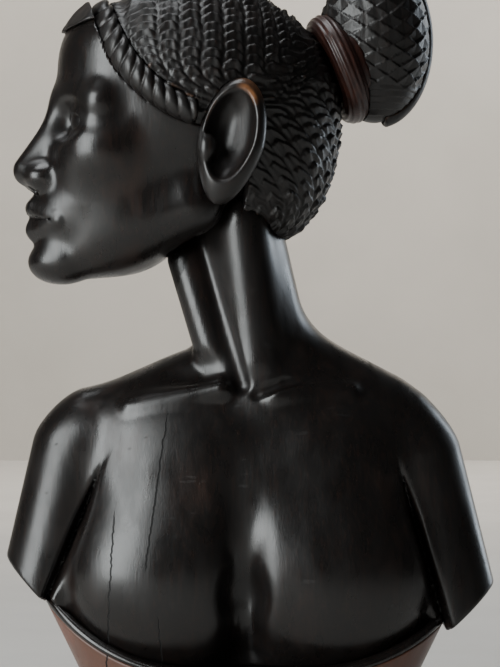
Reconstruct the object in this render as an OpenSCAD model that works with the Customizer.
// Carved hardwood bust of a woman on a flared plinth. The chest faces -Y, the head is turned
// to the figure's right, and the plaited hair is drawn back into a ringed bun.
// Millimetres, +Z up. The plinth stands on z = 0 and the figure's left arm is at +X.

/* [Plinth] */
// Width of the foot
foot_w = 117; // [90:1:150]
// Depth of the foot
foot_d = 80; // [60:1:100]
// Outward slope that the end walls reach
end_flare = 0.524; // [0.3:0.002:0.7]
// Outward slope that the front and back walls reach
front_flare = 0.12; // [0:0.01:0.3]
// Height of the plinth under the middle of the chest
plinth_h = 48.5; // [35:0.5:60]
// Thickness of the rim in the middle
rim_h = 3; // [2:0.5:8]

/* [Head] */
// Angle by which the head is turned to the figure's right
head_turn = 80; // [60:1:90]
// Angle by which the chin is lifted
head_tilt = 5; // [0:1:15]
// Radius of the hairline's arc, seen from the side
hairline_r = 59; // [54:1:64]
// Thickness of the plait along the hairline
braid_w = 11; // [8:0.5:14]

/* [Joints] */
// Radius of the round tenon under the neck
neck_tenon_r = 11; // [8:0.5:14]
// Radius of the spigot on top of the plinth
plinth_spigot_r = 14; // [10:0.5:18]
// Radius of the bun's root, which passes through the band
bun_root_r = 13; // [10:0.5:14]
// Radius of the tenons of the arms
arm_tenon_r = 7; // [5:0.5:9]
// Gap around each tenon
joint_gap = 0.15; // [0.1:0.05:0.4]

/* [Facets] */
// Facet size on the body
body_cell = 7.5; // [4:0.5:10]
// Facet size on the neck
neck_cell = 6; // [4:0.5:10]
// Facet size on the head
head_cell = 5.2; // [3:0.2:8]
// Facet size on the hair
hair_cell = 6; // [3:0.2:8]
// Facet size on the ears
ear_cell = 3.6; // [2:0.2:5]
// Facet size on the front braid
braid_cell = 5; // [3:0.2:6]
// Facet size on the fringe
fringe_cell = 4; // [3:0.2:6]
// Points around the plinth, a multiple of four
plinth_points = 56; // [48:8:120]

/* [Hidden] */
$fn = 64;
BIG = 400;
WOOD = [0.07, 0.065, 0.06];
WORN_WOOD = [0.20, 0.09, 0.06];
FEATURE_STEP = 0.05;

// ---- The head's own axes: forward, to the figure's left, and up ----
head_at = [-24, 6, 300];
flat_forward = [-sin(head_turn), -cos(head_turn), 0];
head_left = [cos(head_turn), -sin(head_turn), 0];
head_forward = flat_forward * cos(head_tilt) + [0, 0, sin(head_tilt)];
head_up = [0, 0, cos(head_tilt)] - flat_forward * sin(head_tilt);
bun_centre = [-79, 0, 40];
band_centre = [-63, 0, 25];
band_axis = [-0.882, 0, 0.471];

// ---- Shape rows: [how, blend, form], applied in order ----
// A form is an ellipsoid [centre, radii] or a rounded cone [end, other end, radius, other radius].
// ADD and CUT act once. ADD_PAIR acts on both sides of the middle.
ADD = 1;
ADD_PAIR = 2;
CUT = 3;

BODY_ROWS = [
    [ADD, 1, [[0, 7, 112], [80, 35, 84]]],                        // rib cage
    [ADD, 14, [[-12, 9, 174], [-70, 6, 156], 14, 19]],            // right shoulder
    [ADD, 14, [[12, 9, 182], [68, 6, 154], 15, 19]],              // left shoulder
    [ADD_PAIR, 14, [[37, 25, 126], [29, 17, 40]]],                // shoulder blades
    [ADD_PAIR, 14, [[37, -4, 126], [37, 27, 50]]],                // slope of the chest
    [ADD_PAIR, 9, [[41, -9, 91], [42, 33, 46]]],                  // fullness of the chest
    [ADD, 16, [[11, 2, 172], [-8, 5, 250], 20.5, 19]],            // neck
    [ADD, 12, [[4, 15, 182], [-9, 14, 250], 21, 20]],             // nape
    [ADD, 18, [[12, 8, 190], [58, 7, 165], 9, 11.5]],             // slope from neck to shoulder
    [ADD, 4, [[-10.5, -9, 174], [-28, -2, 232], 9, 9]],           // throat
    [ADD, 10, [[4, -12, 188], [-3, -13, 248], 8, 10]],            // muscle from collarbone to ear
    [CUT, 3, [[-4, -21, 176], [-22, -14, 240], 3, 2.4]],          // groove in front of it
    [CUT, 16, [[0, 52, 60], [0, 45, 172], 8, 6]],                 // spine
    [CUT, 6, [[-37, -22, 184], [24, 11, 8]]],                     // hollows above the collarbones
    [CUT, 8, [[36, -25, 190], [20, 9, 6.5]]],
    [ADD, 6, [[-13, -21, 174], [-52, -14, 166], 3.8, 2.8]],       // collarbones
    [ADD, 6, [[12, -21, 172], [44, -15, 173], 3.6, 2.4]],
    [CUT, 6, [[-2.5, -27, 58], [-2.5, -34, 84], 7, 7]],           // valley of the chest
    [CUT, 6, [[-2.5, -34, 84], [-2.5, -34, 122], 7, 3.5]],
    [ADD, 7, [[-78, 5, 146], [-98, 1, 60], 20.5, 20]],            // right upper arm
    [ADD, 7, [[75, 5, 143], [98.5, 1, 50], 20.5, 20]]             // left upper arm
];

HEAD_ROWS = [
    [ADD, 1, [[0, 0, 1], [62, 45.5, 52]]],                        // skull
    [ADD, 12, [[26, 0, 20], [37, 38, 30]]],                       // forehead
    [ADD, 14, [[31, 0, -36], [36, 33, 42]]],                      // lower face
    [ADD, 14, [[2, 27, -46], [51, 7, -73], 12, 9]],               // jaw
    [ADD, 12, [[44, 21, -24], [15, 15, 14]]],                     // cheeks
    [ADD, 9, [[59, 0, -75], [11, 13, 9]]],                        // chin
    [ADD, 9, [[56, 0, -54], [14, 17, 14]]],                       // mouth area
    [ADD, 9, [[58, 5, -3], [48, 30, -3], 5, 5]],                  // brow
    [CUT, 7, [[63, 18.5, -12.5], [11, 13, 8]]],                   // eye sockets
    [ADD, 3, [[47, 18, -12.5], [12.3, 13.4, 12]]],                // lids
    [ADD, 6, [[58, 0, -8], [73, 0, -35], 4.2, 7.2]],              // nose
    [ADD, 5, [[67, 8.5, -38], [8, 6.6, 5.8]]],                    // nostrils
    [ADD, 3, [[70, 3, -51], [60, 15, -56], 4.8, 1.6]],            // upper lip
    [ADD, 3, [[69, 0, -61], [60, 14, -57], 5.6, 1.8]]             // lower lip
];

HAIR_ROWS = [
    [ADD, 1, [[0, 0, 1], [66, 49.5, 56]]],                        // over the skull
    [ADD, 14, [[-30, 0, -24], [32, 38, 36]]]                      // gathered at the nape
];

FRINGE_ROWS = [
    [ADD, 1, [[0, 0, 1], [64, 47.5, 54]]],
    [ADD, 12, [[26, 0, 20], [39, 41, 32.5]]]
];

EAR_ROWS = [
    [ADD, 1, [[0, 0, 0], [14.5, 9.5, 28]]],                       // outline
    [CUT, 2, [[-0.5, 8.5, 3.5], [10.2, 9.5, 20]]],                // hollow inside the rim
    [CUT, 3, [[-4, 4, 2], [6, 8, 12]]],                           // bowl
    [ADD, 2, [[-9.5, 3, -5], [4.2, 4.5, 6]]]                      // lobe in front of the opening
];

BUN_RADII = [25, 24, 37.5];

// ---- Distance functions: negative inside the wood ----
function divide(a, b) = [a.x / b.x, a.y / b.y, a.z / b.z];

function ellipsoid(p, centre, radii) =
    let (
        q = divide(p - centre, radii),
        slope = norm(divide(q, radii))
    )
    slope < 1e-6 ? -min(radii) : norm(q) * (norm(q) - 1) / slope;

function rounded_cone(p, a, b, ra, rb) =
    let (
        along = b - a,
        t = max(0, min(1, ((p - a) * along) / (along * along)))
    )
    norm(p - a - t * along) - (ra + (rb - ra) * t);

function form(p, f) = len(f) == 2 ? ellipsoid(p, f[0], f[1]) : rounded_cone(p, f[0], f[1], f[2], f[3]);

function join(a, b, blend) =
    let (near = max(blend - abs(a - b), 0))
    min(a, b) - near * near / (4 * blend);

function meet(a, b, blend) = -join(-a, -b, blend);

function apply_row(d, row, p, paired) =
    row[0] == ADD ? join(d, form(p, row[2]), row[1])
    : row[0] == ADD_PAIR ? join(d, form(paired, row[2]), row[1])
    : meet(d, -form(p, row[2]), row[1]);

function carve(rows, p, paired, i = 0, d = BIG) =
    i == len(rows) ? d : carve(rows, p, paired, i + 1, apply_row(d, rows[i], p, paired));

// The pair softens across the middle: sharp at the foot of the chest, soft at the top.
function soft_side(p) = [norm([p.x, 2 + 8 * max(0, min(1, (p.z - 80) / 60))]), p.y, p.z];

function body_field(p) = carve(BODY_ROWS, p, soft_side(p));

function to_head(p) = let (q = p - head_at) [q * head_forward, abs(q * head_left), q * head_up];
function from_head(v) = head_at + v.x * head_forward + v.y * head_left + v.z * head_up;

// Side view of the hairline: an arc from the top of the ear up over the forehead.
HAIRLINE_AT = [-5, 47];
function hairline(q) = norm([q.x, q.z] - HAIRLINE_AT) - hairline_r;
function hair_mass(q) = carve(HAIR_ROWS, q, q);

BRAID_END = 7;
function braid_field(p) =
    let (
        q = to_head(p),
        tube = norm([hairline(q) + 4.5, hair_mass(q) + 0.5]) - braid_w / 2
    )
    meet(tube, BRAID_END - q.x, 2);

// The ear leans back and stands away from the head at the rear.
EAR_AT = [-9, 49, -17.5];
EAR_LEAN = 8;
EAR_FLARE = 14;
function to_ear(q) =
    let (
        r = q - EAR_AT,
        back = -r.x * cos(EAR_FLARE) + r.y * sin(EAR_FLARE),
        out = r.x * sin(EAR_FLARE) + r.y * cos(EAR_FLARE),
        across = back * cos(EAR_LEAN) - r.z * sin(EAR_LEAN),
        height = back * sin(EAR_LEAN) + r.z * cos(EAR_LEAN)
    )
    [across / (1 - 0.2 * max(0, min(1, -height / 27))), out, height];

function bun_field(p) = ellipsoid(p, from_head(bun_centre), BUN_RADII);

// A flat lock of hair laid over the outer side of the bun.
function strand_field(p) =
    let (across = 0.5 * (p - from_head(bun_centre)) * [0.30, -0.95, 0])
    norm([across - 1, bun_field(p)]) - 3;

function box_field(p, low, high) =
    let (q = p - (low + high) / 2, half = (high - low) / 2)
    max(abs(q.x) - half.x, abs(q.y) - half.y, abs(q.z) - half.z);

// ---- A closed mesh of a field inside a box ----
AXES = [[1, 0, 0], [0, 1, 0], [0, 0, 1]];
CORNERS = [for (x = [0, 1], y = [0, 1], z = [0, 1]) [x, y, z]];
EDGES = [for (a = CORNERS, axis = AXES) if (a * axis == 0) [a, a + axis]];

// The four cells around a grid edge that leaves a corner along X, Y or Z, in turning order.
RING = [
    [[0, 0, 0], [0, -1, 0], [0, -1, -1], [0, 0, -1]],
    [[0, 0, 0], [0, 0, -1], [-1, 0, -1], [-1, 0, 0]],
    [[0, 0, 0], [-1, 0, 0], [-1, -1, 0], [0, -1, 0]]
];

function at(values, c) = values[c.x][c.y][c.z];
function is_inside(values, c) = at(values, c) < 0;

function mean_point(points) = [for (axis = AXES) mean([for (p = points) p * axis])];
function mean(list) = list * [for (item = list) 1] / len(list);

function crossing(values, cell, edge) =
    let (a = at(values, cell + edge[0]), b = at(values, cell + edge[1]))
    edge[0] + (edge[1] - edge[0]) * a / (a - b);

function crosses(values, cell, edge) =
    is_inside(values, cell + edge[0]) != is_inside(values, cell + edge[1]);

function is_mixed(values, cell) =
    let (inside = [for (c = CORNERS) if (is_inside(values, cell + c)) 1])
    len(inside) > 0 && len(inside) < len(CORNERS);

function gradient(field, p, d) =
    [for (axis = AXES) (field(p + FEATURE_STEP * axis) - d) / FEATURE_STEP];

// Moves a point onto the surface of the field.
function settle(field, p, turns) =
    turns == 0 ? p
    : let (d = field(p), g = gradient(field, p, d))
      settle(field, p - g * d / max(g * g, 0.2), turns - 1);

// Moves a point onto several surfaces at once, where they meet in an edge.
function sharpen(shape, p, active, turns) =
    turns == 0 ? p
    : let (
        part = active[turns % len(active)],
        field = function (v) shape(v)[part],
        d = field(p),
        g = gradient(field, p, d)
    )
    sharpen(shape, p - g * d / max(g * g, 0.2), active, turns - 1);

function clamp_to(p, low, high) = [for (n = [0:2]) max(low[n], min(high[n], p[n]))];
function largest(list) = search(max(list), list)[0];
function distinct(list) = [for (n = [0:len(list) - 1]) if (search(list[n], list)[0] == n) list[n]];

// Keeps each point inside its own grid cell, so no two points meet.
CELL_MARGIN = 0.04;
function in_cell(p, low, cell, here) =
    let (corner = low + cell * here, margin = cell * CELL_MARGIN * [1, 1, 1])
    clamp_to(p, corner + margin, corner + cell * [1, 1, 1] - margin);

// The point of one cell. Where several distances meet there, it goes onto their common edge.
function net_point(shape, low, cell, here, all, values) =
    let (
        cut_edges = [for (edge = EDGES) if (crosses(values, here, edge)) edge],
        start = low + cell * (here + mean_point([for (edge = cut_edges) crossing(values, here, edge)])),
        active = distinct([for (edge = cut_edges)
            let (end = at(values, here + edge[0]) < 0 ? edge[1] : edge[0])
            largest(at(all, here + end))]),
        on_surface = settle(function (p) max(shape(p)), start, 2),
        point = len(active) < 2 ? on_surface : sharpen(shape, on_surface, active, 3 * len(active))
    )
    in_cell(point, low, cell, here);

// True where an outside corner of the grid meets another outside corner only across the
// diagonal of a square. Such corners are filled, so that the surface never touches itself.
SQUARES = [for (a = [0:1], b = [a + 1:2], sa = [-1, 1], sb = [-1, 1]) [sa * AXES[a], sb * AXES[b]]];
function is_pinched(values, c) =
    len([for (square = SQUARES)
        if (is_inside(values, c + square[0])
            && is_inside(values, c + square[1])
            && !is_inside(values, c + square[0] + square[1])) 1]) > 0;
FILLED = -0.01;
function unpinch(values, size, turns) =
    turns == 0 ? values
    : unpinch(
        [for (x = [0:size.x]) [for (y = [0:size.y]) [for (z = [0:size.z])
            let (d = values[x][y][z], inner = min(x, y, z, size.x - x, size.y - y, size.z - z) > 0)
            d >= 0 && inner && is_pinched(values, [x, y, z]) ? FILLED : d]]],
        size, turns - 1);

// Surface nets: one point in each grid cell that the surface passes through, and one pair of
// triangles, clockwise from outside, across each grid edge that it cuts. A shape gives a list
// of distances, and its solid is where all of them are negative. Returns [points, triangles].
function mesh_of(shape, low, high, cell) =
    let (
        size = [for (axis = AXES) ceil((high - low) * axis / cell)],
        inner = [low + [1, 1, 1] * cell, high - [1, 1, 1] * cell],
        bounded = function (p) concat(shape(p), box_field(p, inner[0], inner[1])),
        all = [for (x = [0:size.x]) [for (y = [0:size.y]) [for (z = [0:size.z])
            bounded(low + cell * [x, y, z])]]],
        raw = [for (sheet = all) [for (line = sheet) [for (list = line) max(list)]]],
        values = unpinch(raw, size, 2),
        rows = [for (x = [0:size.x - 1]) [for (y = [0:size.y - 1]) [for (z = [0:size.z - 1])
            if (is_mixed(values, [x, y, z])) z]]],
        counts = [for (row = rows, column = row) len(column)],
        starts = [for (n = 0, total = 0; n < len(counts); total = total + counts[n], n = n + 1) total],
        points = [for (x = [0:size.x - 1], y = [0:size.y - 1], z = rows[x][y])
            net_point(bounded, low, cell, [x, y, z], all, values)],
        index = function (c) starts[c.x * size.y + c.y] + search(c.z, rows[c.x][c.y])[0],
        quads = [for (x = [1:size.x - 1], y = [1:size.y - 1], z = [1:size.z - 1], axis = [0:2])
            let (
                here = [x, y, z],
                inside = is_inside(values, here)
            )
            if (inside != is_inside(values, here + AXES[axis]))
                [for (n = [0:3]) index(here + RING[axis][inside ? 3 - n : n])]]
    )
    [points, [for (q = quads) each [[q[0], q[1], q[2]], [q[0], q[2], q[3]]]]];

module draw(mesh) {
    polyhedron(mesh[0], mesh[1]);
}

// Makes the pieces inside into one closed mesh.
module as_mesh() {
    resize([0, 0, 0])
        children();
}

// Draws a solid given by a list of distances.
module solid(shape, low, high, cell) {
    draw(mesh_of(shape, low, high, cell));
}

// ---- Joint planes: [point, outward normal] ----
RIGHT_JOINT = [[-64, 0, 144], [-1, 0, 0.42]];
LEFT_JOINT = [[65, 0, 144], [1, 0, 0.29]];
RIGHT_END = [[-92, 0, 80], [-0.726, 0, -0.688]];
LEFT_END = [[90, 0, 68], [0.69, 0, -0.724]];
NECK_JOINT = [[0, 0, 184], [0, -0.35, 1]];
HEAD_JOINT = [[-10, 0, 258], [-0.2, 0, 1]];
function beyond(plane, p) = (p - plane[0]) * plane[1] / norm(plane[1]);

// Everything on the side of a plane that its normal points to.
module half_space(point, normal) {
    translate(point)
        rotate([0, acos(normal.z / norm(normal)), atan2(normal.y, normal.x)])
            translate([-BIG, -BIG, 0])
                cube(2 * BIG);
}

// ---- Plinth and rim ----
SQUARENESS = 2.4;
PLINTH_Y = 1;
FLARE_TOP = 80;
function spread(z) = let (h = min(z, FLARE_TOP)) h * h / (h + 20);
function bulged(c) = sign(c) * pow(abs(c), 2 / SQUARENESS);

// The two tips stop at the arms.
function joint_x(plane, z) = plane[0].x - (z - plane[0].z) * plane[1].z / plane[1].x;
function wall(angle, z, inset = 0) = [
    max(joint_x(RIGHT_JOINT, z), min(joint_x(LEFT_JOINT, z),
        (foot_w / 2 + end_flare * spread(z) - inset) * bulged(cos(angle)))),
    (foot_d / 2 + front_flare * spread(z) - inset) * bulged(sin(angle)) + PLINTH_Y,
    z
];
RIM_HALF = 92;
// How far the ledge rises towards the right arm and towards the left arm.
RIM_RISE = [31, 26];
function rim_low(x) = plinth_h + RIM_RISE[x < 0 ? 0 : 1] * pow(min(abs(x) / RIM_HALF, 1), 3);
function rim_top(x) = rim_low(x) + rim_h + 2 * pow(min(abs(x) / RIM_HALF, 1), 2);
function level(angle, inset, top, z = 60, turns = 6) =
    turns == 0 ? z
    : let (x = wall(angle, z, inset).x)
      level(angle, inset, top, top ? rim_top(x) : rim_low(x), turns - 1);

angles = [for (n = [0:plinth_points - 1]) n * 360 / plinth_points];
function plinth_ring(share) = [for (a = angles) wall(a, share * level(a, 0, false))];
function rim_ring(share) = [for (a = angles)
    let (
        low = wall(a, level(a, 0.4, false), 0.4),
        high = wall(a, level(a, 1.6, true), 1.6)
    )
    low + (high - low) * share];

// A solid through rings of points. Opposite points of the end rings share X, so the
// end faces are strips across the plinth.
module ringed(rings) {
    n = plinth_points;
    last = len(rings) - 1;
    sides = [for (r = [0:last - 1], i = [0:n - 1])
        let (a = r * n + i, b = r * n + (i + 1) % n)
        each [[a, a + n, b + n], [a, b + n, b]]];
    function strip(first, i) =
        let (a = first + i, b = first + i + 1, c = first + (n - i - 1) % n, d = first + (n - i) % n)
        i == 0 ? [[a, b, c]] : i == n / 2 - 1 ? [[a, b, d]] : [[a, b, c], [a, c, d]];
    bottom = [for (i = [0:n / 2 - 1]) each strip(0, i)];
    top = [for (i = [0:n / 2 - 1]) each [for (t = strip(last * n, i)) [t[2], t[1], t[0]]]];
    polyhedron([for (ring = rings) each ring], concat(sides, bottom, top));
}

SPIGOT_AT = [0, 4, 0];
SPIGOT_LOW = 40;
SPIGOT_HIGH = 72;
module spigot(gap = 0) {
    translate(SPIGOT_AT + [0, 0, SPIGOT_LOW])
        cylinder(h = SPIGOT_HIGH - SPIGOT_LOW + gap, r = plinth_spigot_r + gap);
}

module plinth() {
    color(WORN_WOOD)
        union() {
            ringed([for (share = [0:0.2:1]) plinth_ring(share)]);
            spigot();
        }
}

module rim() {
    color(WOOD)
        difference() {
            ringed([for (share = [0, 1]) rim_ring(share)]);
            spigot(joint_gap);
        }
}

// ---- Body ----
NECK_TENON_AT = [-2, 10, 164];
NECK_TENON_L = 34;
module neck_tenon(gap = 0) {
    translate(NECK_TENON_AT - [0, 0, gap])
        cylinder(h = NECK_TENON_L + gap, r = neck_tenon_r + gap);
}

module arm_tenon(side, gap = 0) {
    at = side > 0 ? [70, 6, 132] : [-70, 6, 134];
    translate(at)
        rotate([0, -side * 90, 0])
            translate([0, 0, -14])
                cylinder(h = 30 + gap, r = arm_tenon_r + gap);
}

module torso() {
    color(WOOD)
        difference() {
            solid(
                function (p) [
                    body_field(p),
                    beyond(RIGHT_JOINT, p),
                    beyond(LEFT_JOINT, p),
                    beyond(NECK_JOINT, p),
                    rim_top(p.x) - p.z
                ],
                [-116, -58, 36], [116, 60, 222], body_cell
            );
            spigot(joint_gap);
            neck_tenon(joint_gap);
            arm_tenon(1, joint_gap);
            arm_tenon(-1, joint_gap);
        }
}

module right_arm() {
    color(WOOD)
        union() {
            solid(
                function (p) [body_field(p), -beyond(RIGHT_JOINT, p), beyond(RIGHT_END, p)],
                [-128, -40, 50], [-34, 50, 205], body_cell
            );
            arm_tenon(-1);
        }
}

module left_arm() {
    color(WOOD)
        union() {
            solid(
                function (p) [body_field(p), -beyond(LEFT_JOINT, p), beyond(LEFT_END, p)],
                [34, -40, 40], [128, 50, 205], body_cell
            );
            arm_tenon(1);
        }
}

module neck() {
    color(WOOD)
        union() {
            solid(
                function (p) [body_field(p), -beyond(NECK_JOINT, p), beyond(HEAD_JOINT, p)],
                [-70, -54, 160], [70, 66, 282], neck_cell
            );
            neck_tenon();
        }
}

// ---- Head ----
// The room that the neck takes up inside the head. It is worked out only near the neck.
NECK_TOP = 278;
function neck_room(p) = p.z > NECK_TOP ? -BIG : joint_gap - max(body_field(p), beyond(HEAD_JOINT, p));

// The solid under the hair, which the hair and the fringe are laid on.
CORE = [[0, 0, 1], [56, 40, 46]];
function core(q) = form(q, CORE);

// Negative where the hair goes: behind the hairline, and behind the ear down to the nape.
HAIRLINE_FOOT = -20;
FRINGE_LOW = 33;
function scalp(q) = join(hairline(q), q.x - HAIRLINE_FOOT, 6);
function nape(q) = 0.9 * (0.48 * (q.x + 36) - 57 - q.z);
function above_face(q) = FRINGE_LOW - q.z;

// Each ear sits in a shallow pocket that is as wide as the whole ear.
EAR_POCKET = 40;
function ear_base(q) = EAR_POCKET - q.y;
function ear_room(q) = -max(form(to_ear(q), EAR_ROWS[0][2]), ear_base(q));

function head_parts(p) =
    let (q = to_head(p), bare = -min(scalp(q), above_face(q)))
    [carve(HEAD_ROWS, q, q), min(bare, core(q)), neck_room(p), ear_room(q), -braid_field(p)];

function hair_parts(p) =
    let (q = to_head(p))
    [hair_mass(q), scalp(q), nape(q), -core(q), neck_room(p), ear_room(q), -braid_field(p)];

function fringe_parts(p) =
    let (q = to_head(p))
    [carve(FRINGE_ROWS, q, q), above_face(q), -scalp(q), -core(q), -braid_field(p)];

// Brings children drawn as [forward, left, up] into place.
module in_head_axes() {
    f = head_forward;
    l = head_left;
    u = head_up;
    multmatrix([
        [f.x, l.x, u.x, head_at.x],
        [f.y, l.y, u.y, head_at.y],
        [f.z, l.z, u.z, head_at.z]
    ])
        children();
}

// Stands the children on a point of the head, with their Z along a direction given in its axes.
module on_head(point, direction) {
    way = from_head(direction) - head_at;
    translate(from_head(point))
        rotate([0, acos(way.z / norm(way)), atan2(way.y, way.x)])
            children();
}

BUN_ROOT_LOW = -20;
BUN_ROOT_HIGH = 12;
module bun_root(gap = 0) {
    on_head(band_centre, band_axis)
        translate([0, 0, BUN_ROOT_LOW - gap])
            cylinder(h = BUN_ROOT_HIGH - BUN_ROOT_LOW + gap, r = bun_root_r + gap);
}

module head() {
    color(WOOD)
        difference() {
            solid(function (p) head_parts(p), [-118, -56, 208], [62, 68, 368], head_cell);
            bun_root(joint_gap);
        }
}

module hair_cap() {
    color(WOOD)
        difference() {
            solid(function (p) hair_parts(p), [-100, -62, 226], [64, 74, 374], hair_cell);
            bun_root(joint_gap);
        }
}

module front_braid() {
    color(WOOD)
        solid(function (p) [braid_field(p)], [-90, -62, 262], [0, 74, 372], braid_cell);
}

module fringe() {
    color(WOOD)
        solid(function (p) fringe_parts(p), [-112, -44, 314], [-50, 60, 374], fringe_cell);
}

module ear(side) {
    centre = from_head([EAR_AT.x, side * EAR_AT.y, EAR_AT.z]);
    reach = [26, 22, 36];
    color(WOOD)
        solid(
            function (p)
                let (q = to_head(p))
                [carve(EAR_ROWS, to_ear(q), to_ear(q)), ear_base(q)],
            centre - reach, centre + reach, ear_cell
        );
}

module left_ear() {
    ear(1);
}

module right_ear() {
    ear(-1);
}

// ---- Bun ----
BAND_R = 20;
BAND_TUBE = 6;
module band_ring() {
    on_head(band_centre, band_axis)
        rotate_extrude($fn = 36) {
            translate([BAND_R, 0])
                circle(BAND_TUBE, $fn = 12);
            translate([BAND_R - 1, BAND_TUBE + 1])
                circle(BAND_TUBE / 2, $fn = 8);
            translate([bun_root_r + joint_gap, -BAND_TUBE + 2])
                square([BAND_R - bun_root_r, 2 * BAND_TUBE]);
        }
}

// The foot of the band is cut to lie on the back of the hair.
module hair_band() {
    color(WORN_WOOD)
        as_mesh()
            difference() {
                band_ring();
                in_head_axes()
                    translate(HAIR_ROWS[0][2][0])
                        scale(HAIR_ROWS[0][2][1])
                            sphere(1, $fn = 48);
            }
}

module bun() {
    color(WOOD)
        union() {
            as_mesh()
                difference() {
                    translate(from_head(bun_centre))
                        scale(BUN_RADII)
                            sphere(1, $fn = 32);
                    half_space(from_head(band_centre), head_at - from_head(band_axis));
                    band_ring();
                }
            bun_root();
        }
}

STRAND_START = -8;
STRAND_CLEAR = 10;
module bun_strand() {
    middle = from_head(bun_centre);
    root = [from_head(band_centre), from_head(band_axis) - head_at];
    color(WOOD)
        solid(
            function (p) [
                strand_field(p),
                -bun_field(p),
                STRAND_CLEAR - beyond(root, p),
                middle.x + STRAND_START - p.x
            ],
            [26, -24, 284], [94, 58, 382], ear_cell
        );
}

// ---- Draw ----
plinth();
rim();
torso();
right_arm();
left_arm();
neck();
head();
hair_cap();
fringe();
front_braid();
left_ear();
right_ear();
hair_band();
bun();
bun_strand();
